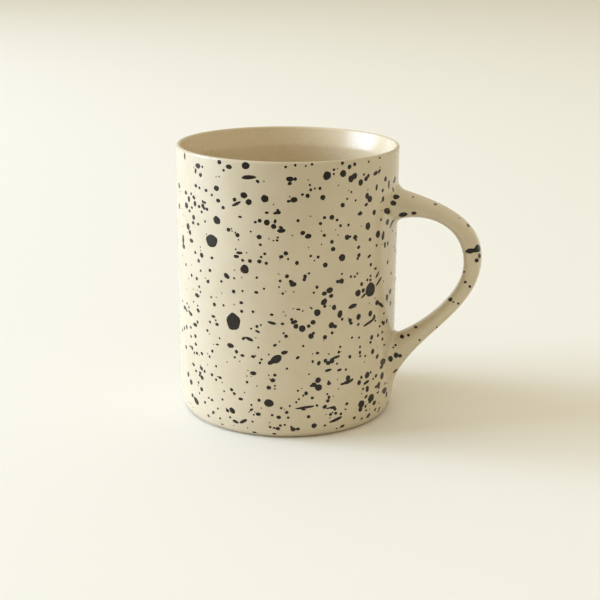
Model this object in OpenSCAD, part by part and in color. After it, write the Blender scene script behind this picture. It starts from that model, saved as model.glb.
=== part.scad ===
// Straight-sided stoneware mug with a strap handle.
//
// The clay cup and the clay handle are two separate castings. Two pads of slip join them,
// and thin coats of glaze cover the outside, the inside, the handle and the recess underneath.
// Only the ring that stands on the table is bare clay.
//
// Frame: millimetres, +Z up, origin on the cup's axis at the table, handle towards +X.

/* [Cup] */
// Height from the table to the lip
mug_h = 100; // [94:1:112]
// Outside diameter over the glaze
mug_d = 81.4; // [76:0.2:88]
// Wall thickness with the glaze on both faces
wall_t = 3; // [2.6:0.1:3.8]
// Thickness of the rounded lip
lip_t = 1.6; // [1.5:0.1:2.4]
// Height of the bevel inside that thins the wall towards the lip
lip_taper_h = 7; // [5:0.5:12]
// Thickness of the clay floor
floor_t = 4; // [3:0.1:6]
// Radius between the inside wall and the floor
inner_corner_r = 9; // [6:0.5:12]

/* [Foot] */
// Height at which the outside wall starts to round in
corner_h = 7.6; // [5:0.2:7.6]
// Radius of that rounding
corner_r = 12; // [9.5:0.5:16]
// Width of the ring that stands on the table
foot_w = 4.5; // [3:0.1:6]
// Depth of the recess inside the foot ring
recess_h = 1.5; // [1:0.1:2.4]
// Height of the bare clay line below the outer glaze
bare_h = 0.6; // [0.3:0.1:1.2]

/* [Glaze] */
// Thickness of every coat of glaze, and of the slip pads
glaze_t = 0.4; // [0.3:0.05:0.6]

/* [Handle] */
// Reach of the handle beyond the wall
reach = 31.4; // [28:0.2:36]
// Height where the strap's upper edge meets the wall
strap_top = 85; // [82:0.5:86]
// Height of the outermost bend
bend_z = 60; // [56:0.5:63]
// Height where the strap's lower edge meets the wall
strap_foot = 9.6; // [9.2:0.2:13]
// Strap thickness at the outermost bend, glaze included
strap_t = 6.6; // [6:0.1:8]
// Strap width, glaze included
strap_w = 12; // [10:0.5:14]
// Strap width where it meets the wall
root_w = 14; // [13:0.5:17]
// Fillet radius around the upper root
upper_fillet = 2; // [1.5:0.1:3]
// Fillet radius around the lower root
lower_fillet = 1.5; // [1:0.1:1.5]

/* [Hidden] */
$fn = 128;

wall_r = mug_d / 2;
clay_r = wall_r - glaze_t;
lip_r = lip_t / 2;
lip_centre = [wall_r - lip_r, mug_h - lip_r];
corner_centre = [wall_r - corner_r, corner_h];
inner_r = wall_r - wall_t;
liner_z = recess_h + floor_t + glaze_t;
inner_centre = [inner_r - inner_corner_r, liner_z + inner_corner_r];
taper_z = mug_h - lip_taper_h;

// Radius of the clay where it stands on the table
foot_r = corner_centre[0] + sqrt(pow(corner_r - glaze_t, 2) - pow(corner_h, 2));
foot_in_r = foot_r - foot_w;

ARC_STEPS = 12;
SIDES = 24;
STRAP_RINGS = 34;
FILLET_RINGS = 5;
// Exponent of the strap's rounded-rectangle section; 2 would be an ellipse
SQUARENESS = 2.7;
// Share of the strap's length that each root fillet takes
UPPER_SHARE = 0.03;
LOWER_SHARE = 0.05;
// Distance from the wall over which the section stops following the wall's curve
WRAP = 9;

clay = "#b99a76";
slip = "#a88763";
cream = "#e6dcc2";

// Points of an arc in the (radius, height) plane, from angle a to angle b
function arc(centre, r, a, b) =
    [for (k = [0:ARC_STEPS]) let (t = a + (b - a) * k / ARC_STEPS)
        centre + r * [cos(t), sin(t)]];

// Outside of the cup from height z up to the crown of the lip, inset into the wall by g
function outside(z, g) =
    let (r = corner_r - g)
    concat(arc(corner_centre, r, asin((z - corner_h) / r), 0),
           arc(lip_centre, lip_r - g, 0, 90));

// Inside of the cup from the crown of the lip down to the axis, inset into the wall by g
function inside(g) =
    concat(arc(lip_centre, lip_r - g, 90, 180),
           [[inner_r + g, taper_z]],
           arc(inner_centre, inner_corner_r + g, 0, -90),
           [[0, liner_z - g]]);

function reversed(list) = [for (k = [len(list) - 1:-1:0]) list[k]];

// The strap's two edges, seen from the side, as two Bezier curves each: out to the bend and back
upper_edge = [
    [[wall_r, strap_top], [wall_r + 13, strap_top - 4],
     [wall_r + reach, bend_z + 16], [wall_r + reach, bend_z]],
    [[wall_r + reach, bend_z], [wall_r + reach, bend_z - 20],
     [wall_r + 5, strap_foot + 20], [wall_r, strap_foot]]];
under_r = wall_r + reach - strap_t;
under_z = bend_z - 1.5;
under_edge = [
    [[wall_r, strap_top - 11.5], [wall_r + 12.5, strap_top - 7],
     [under_r, under_z + 13.5], [under_r, under_z]],
    [[under_r, under_z], [under_r, under_z - 12],
     [wall_r + 10, strap_foot + 24], [wall_r, strap_foot + 20]]];

function bezier(p, t) =
    pow(1 - t, 3) * p[0] + 3 * pow(1 - t, 2) * t * p[1] + 3 * (1 - t) * t * t * p[2]
    + pow(t, 3) * p[3];
function edge(curves, u) = u < 0.5 ? bezier(curves[0], 2 * u) : bezier(curves[1], 2 * u - 1);

function signed_power(v, e) = sign(v) * pow(abs(v), e);
function fillet(x, r) = x < r ? r - sqrt(r * r - pow(r - x, 2)) : 0;
function wrap(x) = x < WRAP ? (1 + cos(180 * x / WRAP)) / 2 : 0;

// One point of the strap's surface: u runs along the strap from root to root and a goes round
// the section, which is drawn between the two edges, inset by g, spread by the root's fillet
// and drawn back so that its ends follow the round wall
function strap_point(u, a, g) =
    let (top = edge(upper_edge, u),
         under = edge(under_edge, u),
         middle = (top + under) / 2,
         half_t = norm(top - under) / 2,
         dir = (top - under) / (2 * half_t),
         half_w = (strap_w + (root_w - strap_w) * pow(2 * u - 1, 4)) / 2,
         p = middle + dir * (half_t - g) * signed_power(cos(a), 2 / SQUARENESS),
         x = max(0, p[0] - wall_r),
         f = fillet(x, u < 0.5 ? upper_fillet : lower_fillet),
         q = p + dir * f * cos(a),
         y = (half_w - g) * signed_power(sin(a), 2 / SQUARENESS) + f * sin(a),
         back = (wall_r - sqrt(wall_r * wall_r - y * y)) * wrap(x))
    [q[0] - back, y, q[1]];

function strap_ring(u, g) = [for (k = [0:SIDES - 1]) strap_point(u, 360 * k / SIDES, g)];

// Places along the strap: close together in the root fillets, even in between
function fillet_steps(share) =
    [for (k = [0:FILLET_RINGS]) share * (1 - cos(90 * k / FILLET_RINGS))];
strap_steps = concat(
    fillet_steps(UPPER_SHARE),
    [for (k = [1:STRAP_RINGS - 1])
        UPPER_SHARE + (1 - UPPER_SHARE - LOWER_SHARE) * k / STRAP_RINGS],
    reversed([for (s = fillet_steps(LOWER_SHARE)) 1 - s]));

// A ring moved along X on to the clay wall
function on_clay(ring) =
    [for (p = ring) [sqrt(clay_r * clay_r - p[1] * p[1]), p[1], p[2]]];

// Outline, in (Y, Z), that the strap covers on the wall
function footprint(u, g) = [for (p = strap_ring(u, g)) [p[1], p[2]]];

function ring_band(i, j) =
    [for (k = [0:SIDES - 1]) let (n = (k + 1) % SIDES)
        each [[i * SIDES + k, j * SIDES + n, i * SIDES + n],
              [i * SIDES + k, j * SIDES + k, j * SIDES + n]]];

// Rings that shrink to a point across the strap's end, each lying on the round wall
END_RINGS = 3;
function end_ring(ring, share) =
    let (z0 = (ring[0][2] + ring[SIDES / 2][2]) / 2)
    [for (p = ring) let (y = p[1] * share, z = z0 + (p[2] - z0) * share)
        [sqrt(wall_r * wall_r - y * y), y, z]];
function end_cap(ring) = [for (k = [1:END_RINGS]) end_ring(ring, 1 - k / (END_RINGS + 1))];
function end_point(ring) = [wall_r, 0, (ring[0][2] + ring[SIDES / 2][2]) / 2];

module solid_strap() {
    body = [for (u = strap_steps) strap_ring(u, glaze_t)];
    first = body[0];
    last = body[len(body) - 1];
    rings = concat(reversed(end_cap(first)), body, end_cap(last));
    count = len(rings) * SIDES;
    fan_first = [for (k = [0:SIDES - 1]) [count, k, (k + 1) % SIDES]];
    fan_last = [for (k = [0:SIDES - 1])
        [count + 1, count - SIDES + (k + 1) % SIDES, count - SIDES + k]];
    polyhedron(
        points = concat([for (r = rings) each r], [end_point(first), end_point(last)]),
        faces = concat([for (i = [0:len(rings) - 2]) each ring_band(i, i + 1)],
                       fan_first, fan_last));
}

module strap_sleeve() {
    coat = [for (u = strap_steps) strap_ring(u, 0)];
    core = [for (u = strap_steps) strap_ring(u, glaze_t)];
    last = len(coat) - 1;
    rings = concat([on_clay(coat[0])], coat, [on_clay(coat[last])],
                   [on_clay(core[last])], reversed(core), [on_clay(core[0])]);
    count = len(rings);
    polyhedron(
        points = [for (r = rings) each r],
        faces = [for (i = [0:count - 1]) each ring_band(i, (i + 1) % count)]);
}

// Prism along X over the part of the wall that the strap covers
module root_prism(u, g) {
    rotate([90, 0, 90])
        linear_extrude(mug_d)
            polygon(footprint(u, g));
}

module slip_pad(u) {
    intersection() {
        rotate_extrude()
            translate([clay_r, corner_h])
                square([glaze_t, mug_h - corner_h - lip_t]);
        root_prism(u, glaze_t);
    }
}

// Clay cup: straight wall, floor and foot ring in one piece
module cup_body() {
    color(clay)
        rotate_extrude()
            polygon(concat(outside(0, glaze_t), inside(glaze_t),
                           [[0, recess_h], [foot_in_r - recess_h, recess_h], [foot_in_r, 0]]));
}

// Clay strap, from one slip pad to the other
module handle() {
    color(clay) solid_strap();
}

module upper_slip_joint() {
    color(slip) slip_pad(0);
}

module lower_slip_joint() {
    color(slip) slip_pad(1);
}

// Glaze on the outside of the cup, from the bare line up to the crown of the lip,
// open where the handle's roots stand
module outer_glaze() {
    color(cream)
        difference() {
            rotate_extrude()
                polygon(concat(outside(bare_h, 0), reversed(outside(bare_h, glaze_t))));
            root_prism(0, 0);
            root_prism(1, 0);
        }
}

// Glaze on the inside of the cup, from the crown of the lip to the middle of the floor
module liner_glaze() {
    color(cream)
        rotate_extrude()
            polygon(concat(inside(0), reversed(inside(glaze_t))));
}

// Glaze around the handle, down to the clay wall at both roots
module handle_glaze() {
    color(cream) strap_sleeve();
}

// Disc of glaze in the recess under the cup
module base_glaze() {
    color(cream)
        translate([0, 0, recess_h - glaze_t])
            cylinder(r = foot_in_r - 2 * recess_h, h = glaze_t);
}

cup_body();
handle();
upper_slip_joint();
lower_slip_joint();
outer_glaze();
liner_glaze();
handle_glaze();
base_glaze();
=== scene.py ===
"""A cream stoneware mug splattered with black glaze, built around its packed CAD model.

The file is laid out as an add-on and run as a script. Lengths are metres, in the CAD frame:
+Z up, origin on the cup's axis at the table, handle towards +X.
"""

import math
import random

import bpy
import numpy as np
from bpy.props import FloatProperty, FloatVectorProperty, IntProperty, PointerProperty
from mathutils import Matrix, Vector
from mathutils.bvhtree import BVHTree


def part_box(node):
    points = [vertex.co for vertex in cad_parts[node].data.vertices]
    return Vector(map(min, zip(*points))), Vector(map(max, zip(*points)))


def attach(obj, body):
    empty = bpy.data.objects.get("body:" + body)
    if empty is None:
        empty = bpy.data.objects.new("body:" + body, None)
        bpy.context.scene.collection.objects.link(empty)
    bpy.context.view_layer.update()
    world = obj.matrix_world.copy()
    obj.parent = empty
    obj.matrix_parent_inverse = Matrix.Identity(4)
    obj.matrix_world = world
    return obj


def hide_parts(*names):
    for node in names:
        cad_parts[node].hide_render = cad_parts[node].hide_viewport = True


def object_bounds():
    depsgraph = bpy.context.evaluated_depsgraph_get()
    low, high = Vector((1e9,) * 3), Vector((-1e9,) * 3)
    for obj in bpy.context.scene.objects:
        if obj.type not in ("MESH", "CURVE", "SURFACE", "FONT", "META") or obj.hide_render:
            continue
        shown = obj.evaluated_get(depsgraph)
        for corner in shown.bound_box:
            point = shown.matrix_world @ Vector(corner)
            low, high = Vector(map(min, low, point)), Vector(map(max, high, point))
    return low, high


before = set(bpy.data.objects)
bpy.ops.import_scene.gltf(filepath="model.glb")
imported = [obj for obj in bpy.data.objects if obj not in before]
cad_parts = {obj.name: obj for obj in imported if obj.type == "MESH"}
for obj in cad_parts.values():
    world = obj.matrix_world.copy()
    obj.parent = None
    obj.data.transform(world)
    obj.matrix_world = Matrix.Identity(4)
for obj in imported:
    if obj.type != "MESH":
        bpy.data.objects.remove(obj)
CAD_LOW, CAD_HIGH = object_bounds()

bl_info = {
    "name": "Splattered Mug",
    "version": (1, 0, 0),
    "blender": (4, 5, 0),
    "location": "View3D > Sidebar > Mug",
    "description": "Glaze coats, splatter and studio for a cast stoneware mug",
    "category": "Object",
}

MM = 0.001
SMOOTH_ANGLE = 40


# ---------------------------------------------------------------- sizes and colours


class CupSizes(bpy.types.PropertyGroup):
    """Sizes of the cup's coat of glaze."""

    radius: FloatProperty(
        name="Wall radius", description="Outside of the straight wall in CAD",
        default=40.7 * MM, unit="LENGTH")
    height: FloatProperty(
        name="Height", description="Table to the crown of the lip",
        default=CAD_HIGH.z, unit="LENGTH")
    skin: FloatProperty(
        name="Room for the drops", description="How far the coat stays inside the CAD wall",
        default=0.06 * MM, unit="LENGTH", precision=6)
    wall: FloatProperty(
        name="Wall thickness", description="Wall with the glaze on both faces",
        default=3 * MM, unit="LENGTH")
    lip: FloatProperty(
        name="Lip thickness", description="Thickness of the rounded lip",
        default=1.6 * MM, unit="LENGTH")
    bevel: FloatProperty(
        name="Inner bevel", description="Height of the bevel inside the lip",
        default=7 * MM, unit="LENGTH")
    floor: FloatProperty(
        name="Inner floor", description="Height of the glazed floor inside",
        default=5.9 * MM, unit="LENGTH")
    inner_corner: FloatProperty(
        name="Inner corner", description="Radius between the inside wall and the floor",
        default=9 * MM, unit="LENGTH")
    corner_height: FloatProperty(
        name="Corner height", description="Where the outside wall starts to round in",
        default=7.6 * MM, unit="LENGTH")
    corner: FloatProperty(
        name="Outer corner", description="Radius of the outside corner at the foot",
        default=12 * MM, unit="LENGTH")
    coat: FloatProperty(
        name="Coat", description="Thickness of the glaze",
        default=0.4 * MM, unit="LENGTH", precision=6)
    bare: FloatProperty(
        name="Bare line", description="Height of the bare clay below the glaze",
        default=0.6 * MM, unit="LENGTH", precision=6)
    steps: IntProperty(
        name="Steps", description="Steps round the cup", default=192, min=48)


class HandleSizes(bpy.types.PropertyGroup):
    """Sizes of the strap handle's coat of glaze."""

    reach: FloatProperty(
        name="Reach", description="Reach beyond the wall",
        default=31.4 * MM, unit="LENGTH")
    top: FloatProperty(
        name="Upper root", description="Height where the upper edge meets the wall",
        default=85 * MM, unit="LENGTH")
    bend: FloatProperty(
        name="Bend", description="Height of the outermost bend",
        default=60 * MM, unit="LENGTH")
    foot: FloatProperty(
        name="Lower root", description="Height where the lower edge meets the wall",
        default=9.6 * MM, unit="LENGTH")
    thickness: FloatProperty(
        name="Thickness", description="Strap thickness at the bend",
        default=6.6 * MM, unit="LENGTH")
    width: FloatProperty(
        name="Width", description="Strap width", default=12 * MM, unit="LENGTH")
    root: FloatProperty(
        name="Root width", description="Strap width at the wall",
        default=14 * MM, unit="LENGTH")
    upper_fillet: FloatProperty(
        name="Upper fillet", description="Fillet radius round the upper root",
        default=2.6 * MM, unit="LENGTH")
    lower_fillet: FloatProperty(
        name="Lower fillet", description="Fillet radius round the lower root",
        default=2.1 * MM, unit="LENGTH")
    squareness: FloatProperty(
        name="Squareness", description="Exponent of the section; 2 is an ellipse",
        default=2.7)
    sides: IntProperty(
        name="Sides", description="Points round the section", default=48, min=12)


class FinishSettings(bpy.types.PropertyGroup):
    """Colours and gloss of the mug's finishes."""

    cream: FloatVectorProperty(
        name="Cream", description="Cream glaze", subtype="COLOR",
        default=(0.635, 0.548, 0.402), min=0, max=1)
    cream_deep: FloatVectorProperty(
        name="Deep cream", description="Cream glaze where it pooled",
        subtype="COLOR", default=(0.60, 0.515, 0.368), min=0, max=1)
    liner: FloatVectorProperty(
        name="Liner", description="Cream glaze inside the cup", subtype="COLOR",
        default=(0.69, 0.58, 0.40), min=0, max=1)
    thin: FloatVectorProperty(
        name="Thin glaze", description="Glaze that thinned over an edge",
        subtype="COLOR", default=(0.46, 0.36, 0.23), min=0, max=1)
    black: FloatVectorProperty(
        name="Splatter", description="Black splatter glaze", subtype="COLOR",
        default=(0.014, 0.009, 0.005), min=0, max=1)
    clay: FloatVectorProperty(
        name="Clay", description="Bare fired stoneware", subtype="COLOR",
        default=(0.42, 0.31, 0.20), min=0, max=1)
    slip: FloatVectorProperty(
        name="Slip", description="Bare fired slip", subtype="COLOR",
        default=(0.36, 0.26, 0.17), min=0, max=1)
    gloss: FloatProperty(
        name="Glaze roughness", description="Roughness of the cream glaze",
        default=0.12, min=0, max=1)
    black_gloss: FloatProperty(
        name="Splatter roughness", description="Roughness of the splatter",
        default=0.22, min=0, max=1)


class SplatterSettings(bpy.types.PropertyGroup):
    """How the black glaze was flicked on."""

    thickness: FloatProperty(
        name="Drop thickness", description="Height of a drop above the cream glaze",
        default=0.035 * MM, unit="LENGTH", precision=6)
    top: FloatProperty(
        name="Upper limit", description="Drops are wiped off above this height",
        default=99.6 * MM, unit="LENGTH")
    spread: FloatProperty(
        name="Spread", description="How much the drops spread beyond their listed size",
        default=0.16 * MM, unit="LENGTH", precision=6)
    far_drops: IntProperty(
        name="Far drops", description="Drops on the far side", default=480, min=0)
    handle_drops: IntProperty(
        name="Handle drops", description="Drops on the handle's far side", default=34, min=0)
    fine_drops: IntProperty(
        name="Fine drops", description="Pin-head drops all round", default=360, min=0)
    seed: IntProperty(name="Seed", description="Seed of the random drops", default=11)


class StudioSettings(bpy.types.PropertyGroup):
    """Camera and light."""

    camera_place: FloatVectorProperty(
        name="Camera", description="Camera position", subtype="TRANSLATION",
        default=(0.0970, -0.4562, 0.1761))
    camera_heading: FloatProperty(
        name="Heading", description="Where the camera looks, from +X",
        default=math.radians(101.413), subtype="ANGLE")
    camera_dip: FloatProperty(
        name="Dip", description="How far the camera looks down",
        default=math.radians(16.243), subtype="ANGLE")
    camera_roll: FloatProperty(
        name="Roll", description="Turn about the line of sight",
        default=math.radians(0.42), subtype="ANGLE")
    lens: FloatProperty(name="Lens", description="Focal length in mm", default=77.17)
    window_turn: FloatProperty(
        name="Window turn", description="Direction of the window from the mug",
        default=math.radians(186), subtype="ANGLE")
    window_power: FloatProperty(
        name="Window", description="Strength of the light from the window", default=1)
    ceiling_power: FloatProperty(
        name="Ceiling", description="Power of the light from the ceiling in watts",
        default=21)
    fill: FloatVectorProperty(
        name="Fill", description="Warm light of the room", subtype="COLOR",
        default=(0.64, 0.60, 0.45), min=0, max=1)
    floor: FloatVectorProperty(
        name="Floor", description="Pale floor", subtype="COLOR",
        default=(0.87, 0.86, 0.80), min=0, max=1)


GROUPS = {
    "mug_cup": CupSizes,
    "mug_handle": HandleSizes,
    "mug_finish": FinishSettings,
    "mug_splatter": SplatterSettings,
    "mug_studio": StudioSettings,
}


# ---------------------------------------------------------------- shader arithmetic


class Shade:
    """What comes out of a shader node. Arithmetic on it adds Math nodes."""

    def __init__(self, finish, socket):
        self.finish = finish
        self.socket = socket

    def maths(self, operation, first, second):
        return self.finish.node("ShaderNodeMath", {"operation": operation},
                                {0: first, 1: second})

    def __add__(self, other):
        return self.maths("ADD", self, other)

    def __sub__(self, other):
        return self.maths("SUBTRACT", self, other)

    def __rsub__(self, other):
        return self.maths("SUBTRACT", other, self)

    def __mul__(self, other):
        return self.maths("MULTIPLY", self, other)

    def __truediv__(self, other):
        return self.maths("DIVIDE", self, other)

    def __pow__(self, other):
        return self.maths("POWER", self, other)

    def __lt__(self, other):
        return self.maths("LESS_THAN", self, other)

    def __gt__(self, other):
        return self.maths("GREATER_THAN", self, other)

    __radd__ = __add__

    def between(self, low, high):
        """0 below low, 1 above high and smooth in between."""
        return self.finish.node(
            "ShaderNodeMapRange", {"interpolation_type": "SMOOTHSTEP"},
            {"Value": self, "From Min": low, "From Max": high})


class Finish:
    """A procedural material on a Principled shader."""

    def __init__(self, name, **constants):
        self.material = bpy.data.materials.new(name)
        self.material.use_nodes = True
        self.nodes = self.material.node_tree.nodes
        self.links = self.material.node_tree.links
        self.nodes.clear()
        self.shader = self.nodes.new("ShaderNodeBsdfPrincipled")
        output = self.nodes.new("ShaderNodeOutputMaterial")
        self.links.new(self.shader.outputs[0], output.inputs[0])
        for socket, value in constants.items():
            self.shader.inputs[socket.replace("_", " ")].default_value = value
        self.place = self.node("ShaderNodeTexCoord", output="Object")

    def node(self, kind, settings=None, inputs=None, output=0):
        made = self.nodes.new(kind)
        for key, value in (settings or {}).items():
            setattr(made, key, value)
        for key, value in (inputs or {}).items():
            self.feed(made.inputs[key], value)
        return Shade(self, made.outputs[output])

    def feed(self, socket, value):
        if isinstance(value, Shade):
            self.links.new(value.socket, socket)
        elif hasattr(value, "__len__") and len(value) == 3 and socket.type == "RGBA":
            socket.default_value = (*value, 1)
        else:
            socket.default_value = value

    def noise(self, size, detail=2):
        """Cloudy noise from 0 to 1 whose patches are about size metres across."""
        return self.node("ShaderNodeTexNoise", None,
                         {"Vector": self.place, "Scale": 1 / size, "Detail": detail})

    def specks(self, spacing, size, share):
        """1 inside round specks, which a share of the cells spacing metres apart hold."""
        cell = {"Vector": self.place, "Scale": 1 / spacing}
        far = self.node("ShaderNodeTexVoronoi", None, cell, "Distance")
        tint = self.node("ShaderNodeTexVoronoi", None, cell, "Color")
        pick = self.node("ShaderNodeSeparateColor", None, {0: tint}, 0)
        grow = self.node("ShaderNodeSeparateColor", None, {0: tint}, 1)
        reach = (0.4 + grow * 0.6) * (size / spacing)
        inside = 1 - (far / reach).between(0.7, 1.1)
        return inside * (pick < share)

    def axis(self, index):
        """The place along one axis, in metres."""
        return self.node("ShaderNodeSeparateXYZ", None, {0: self.place}, index)

    def mix(self, amount, first, second):
        return self.node("ShaderNodeMix", {"data_type": "RGBA"},
                         {0: amount, 6: first, 7: second}, 2)

    def bump(self, height, strength, distance):
        return self.node("ShaderNodeBump", None,
                         {"Height": height, "Strength": strength, "Distance": distance})

    def set(self, **sockets):
        for socket, value in sockets.items():
            self.feed(self.shader.inputs[socket.replace("_", " ")], value)
        return self.material


LINER_RADIUS = 39.4 * MM
LINER_LOW = 4 * MM


def cream_glaze(colours):
    """Glossy cream glaze: softly clouded, thin over the edges, with a few iron specks."""
    f = Finish("glossy_cream_glaze", IOR=1.5)
    cloud = f.noise(14 * MM, 3)
    colour = f.mix(cloud.between(0.35, 0.7), colours.cream, colours.cream_deep)
    z = f.axis(2)
    radius = (f.axis(0) ** 2 + f.axis(1) ** 2) ** 0.5
    inside = (radius < LINER_RADIUS) * (z > LINER_LOW)
    colour = f.mix(inside, colour, colours.liner)
    edge = z.between(99.3 * MM, 100 * MM) * 0.25 + (1 - z.between(0.7 * MM, 1.8 * MM)) * 0.6
    colour = f.mix(edge, colour, colours.thin)
    iron = f.specks(2.6 * MM, 0.22 * MM, 0.22)
    colour = f.mix(iron * 0.45, colour, (0.30, 0.22, 0.12))
    peel = f.noise(1.6 * MM, 1)
    swell = f.noise(11 * MM, 1)
    return f.set(
        Base_Color=colour,
        Roughness=colours.gloss + f.noise(6 * MM, 2) * 0.06 + inside * 0.12,
        Normal=f.bump(peel * 0.12 + swell, 0.5, 0.06 * MM),
    )


def black_glaze(colours):
    """The flicked-on black: near black, a little browner where it is thin."""
    f = Finish("glossy_black_glaze", IOR=1.4)
    thin = f.noise(2 * MM, 2).between(0.4, 0.7)
    return f.set(
        Base_Color=f.mix(thin, colours.black, (0.016, 0.012, 0.007)),
        Roughness=colours.black_gloss + f.noise(3 * MM, 2) * 0.08,
        Normal=f.bump(f.noise(0.8 * MM, 1), 0.2, 0.01 * MM),
    )


def bare_clay(name, colour, darker):
    """Matt fired clay with sand in it."""
    f = Finish(name, IOR=1.45)
    sand = f.specks(0.9 * MM, 0.35 * MM, 0.5)
    tint = f.mix(f.noise(4 * MM, 4), colour, darker)
    tint = f.mix(sand * 0.5, tint, (0.16, 0.11, 0.07))
    grit = f.noise(0.35 * MM, 3)
    return f.set(
        Base_Color=tint,
        Roughness=0.72 + grit * 0.2,
        Normal=f.bump(grit - sand * 0.5, 0.6, 0.05 * MM),
    )


def studio_floor(colour):
    """Smooth pale board with a barely visible tooth, much darker towards the camera."""
    f = Finish("studio_floor", IOR=1.4, Specular_IOR_Level=0.25)
    tooth = f.noise(3 * MM, 4)
    pale = f.mix(f.noise(0.4, 2) * 0.5, colour, tuple(0.985 * c for c in colour))
    pale = f.mix(1 - f.axis(1).between(-0.42, -0.24), pale, tuple(0.15 * c for c in colour))
    return f.set(
        Base_Color=pale,
        Roughness=0.6 + tooth * 0.15,
        Normal=f.bump(tooth, 0.1, 0.05 * MM),
    )


# ---------------------------------------------------------------- modelling helpers


def start(name):
    """Names the new primitive, and opens it for editing with all of it selected."""
    piece = bpy.context.object
    piece.name = name
    piece.data.name = name
    bpy.ops.object.mode_set(mode="EDIT")
    bpy.ops.mesh.select_all(action="SELECT")
    return piece


def deselect():
    bpy.ops.object.select_all(action="DESELECT")


def select_rim():
    """Selects the open edges of the mesh, in edit mode."""
    bpy.ops.mesh.select_mode(type="EDGE")
    bpy.ops.mesh.select_all(action="DESELECT")
    bpy.ops.mesh.select_non_manifold(
        extend=False, use_wire=False, use_boundary=True, use_multi_face=False,
        use_non_contiguous=False, use_verts=False)


def close(piece, angle=SMOOTH_ANGLE):
    """Merges doubles, turns the faces outwards and shades the piece smooth."""
    bpy.ops.mesh.select_all(action="SELECT")
    bpy.ops.mesh.remove_doubles(threshold=0.002 * MM)
    bpy.ops.mesh.normals_make_consistent(inside=False)
    bpy.ops.object.mode_set(mode="OBJECT")
    bpy.ops.object.shade_smooth_by_angle(angle=math.radians(angle))
    return piece


def settle(piece):
    """Puts the piece's place into its mesh, and rides it on the mug."""
    deselect()
    piece.select_set(True)
    bpy.context.view_layer.objects.active = piece
    bpy.ops.object.transform_apply(location=True, rotation=True, scale=True)
    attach(piece, "root")


def paint(piece, material):
    if not piece.material_slots:
        piece.data.materials.append(None)
    for slot in piece.material_slots:
        slot.material = material


def finish_named(name, make, *settings):
    return bpy.data.materials.get(name) or make(*settings)


def arc(centre, radius, first, last, steps):
    """Points of an arc in the (radius, height) plane, between two angles in degrees."""
    turns = np.radians(np.linspace(first, last, steps + 1))
    return [(centre[0] + radius * math.cos(t), centre[1] + radius * math.sin(t))
            for t in turns]


def rows(first, last, step):
    """Evenly spaced points strictly between two points."""
    first, last = np.array(first), np.array(last)
    count = max(1, round(float(np.linalg.norm(last - first)) / step))
    return [tuple(first + (last - first) * k / count) for k in range(1, count)]


# ---------------------------------------------------------------- the cup's coat


ROW = 2.4 * MM


def coat_section(c, depth):
    """The coat's line at a depth below its surface: from the foot, over the lip, to the axis."""
    lip_r = c.lip / 2
    lip_centre = (c.radius - lip_r, c.height - lip_r)
    corner = (c.radius - c.corner, c.corner_height)
    outer_r = c.corner - max(depth, c.skin)
    low = math.degrees(math.asin((c.bare + 0.12 * MM - c.corner_height) / outer_r))
    inner_r = c.radius - c.wall + depth
    inner = (c.radius - c.wall - c.inner_corner, c.floor + c.inner_corner)
    outside = arc(corner, outer_r, low, 0, 10)
    wall_top = (corner[0] + outer_r, lip_centre[1])
    over = arc(lip_centre, max(lip_r - max(depth, 0.5 * c.skin), 0.2 * MM), 0, 180, 12)
    bevel_foot = (inner_r, c.height - c.bevel)
    start_r = over[-1][0]
    lean = (start_r - inner_r) / (over[-1][1] - bevel_foot[1])
    soft = [(inner_r + lean * 0.8 * MM * k * k, bevel_foot[1] - 0.8 * MM + 1.6 * MM * k)
            for k in (1.0, 0.75, 0.5, 0.25, 0.0)]
    round_in = arc(inner, c.inner_corner + depth, 0, -90, 10)
    return (outside + rows(outside[-1], wall_top, ROW) + over
            + rows(over[-1], soft[0], ROW) + soft
            + rows(soft[-1], round_in[0], ROW) + round_in
            + rows(round_in[-1], (0, c.floor - depth), 3 * MM) + [(0, c.floor - depth)])


def coat_outline(c):
    """Half section of the whole coat: its surface, and back against the clay."""
    face = coat_section(c, 0)
    back = coat_section(c, c.coat - 0.01 * MM)
    bead = [(back[0][0] + (face[0][0] - back[0][0]) * k, c.bare + 0.12 * MM * (2 * k - 1) ** 4)
            for k in (0.2, 0.5, 0.8)]
    return list(reversed(face)) + list(reversed(bead)) + back


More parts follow.
